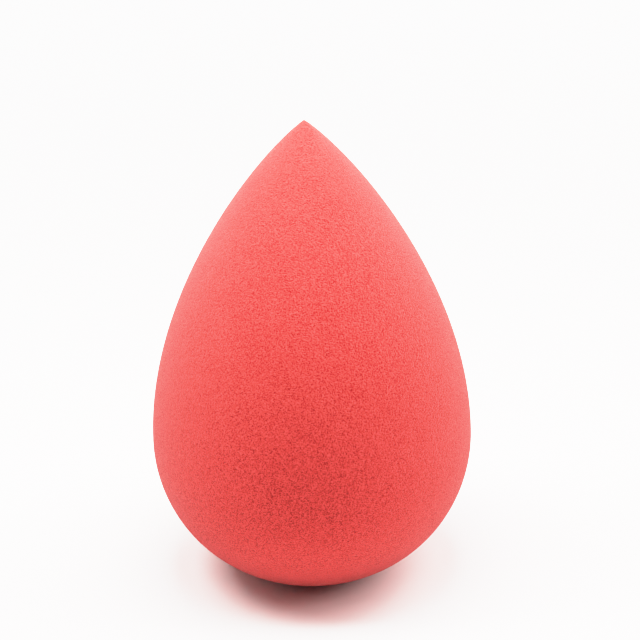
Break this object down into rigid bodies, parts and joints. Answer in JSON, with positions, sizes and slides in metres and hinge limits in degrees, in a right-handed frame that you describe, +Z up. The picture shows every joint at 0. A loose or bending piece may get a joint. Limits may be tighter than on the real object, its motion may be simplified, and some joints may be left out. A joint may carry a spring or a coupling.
{
  "type": "makeup sponge",
  "caption": "Teardrop makeup sponge of soft open-cell foam: a rounded base that gives when dabbed, a full belly to hold, and a pointed tip that bends.",
  "frame": {"origin": "centre of the flat foot that the sponge stands on", "axes": "+Z up along the axis of the teardrop through its tip, -Y to the front as pictured, +X to the right"},
  "size_m": [0.04, 0.04, 0.06],
  "materials": {
    "foam": "matte coral-red open-cell foam"
  },
  "bodies": {
    "rounded_base": {"rounded_base": "foam"},
    "belly": {"belly": "foam"},
    "pointed_tip": {"pointed_tip": "foam"}
  },
  "joints": [
    {"name": "dab", "type": "slide", "parent": "rounded_base", "child": "belly", "axis": [0, 0, -1], "range_m": [0, 0.009], "stiffness_N_per_m": 400, "deforming": ["rounded_base"]},
    {"name": "tip_bend", "type": "hinge", "parent": "belly", "child": "pointed_tip", "pos_m": [0, 0, 0.044], "axis": [0, 1, 0], "range_deg": [-40, 40], "stiffness_Nm_per_rad": 0.006, "deforming": ["pointed_tip"]}
  ]
}
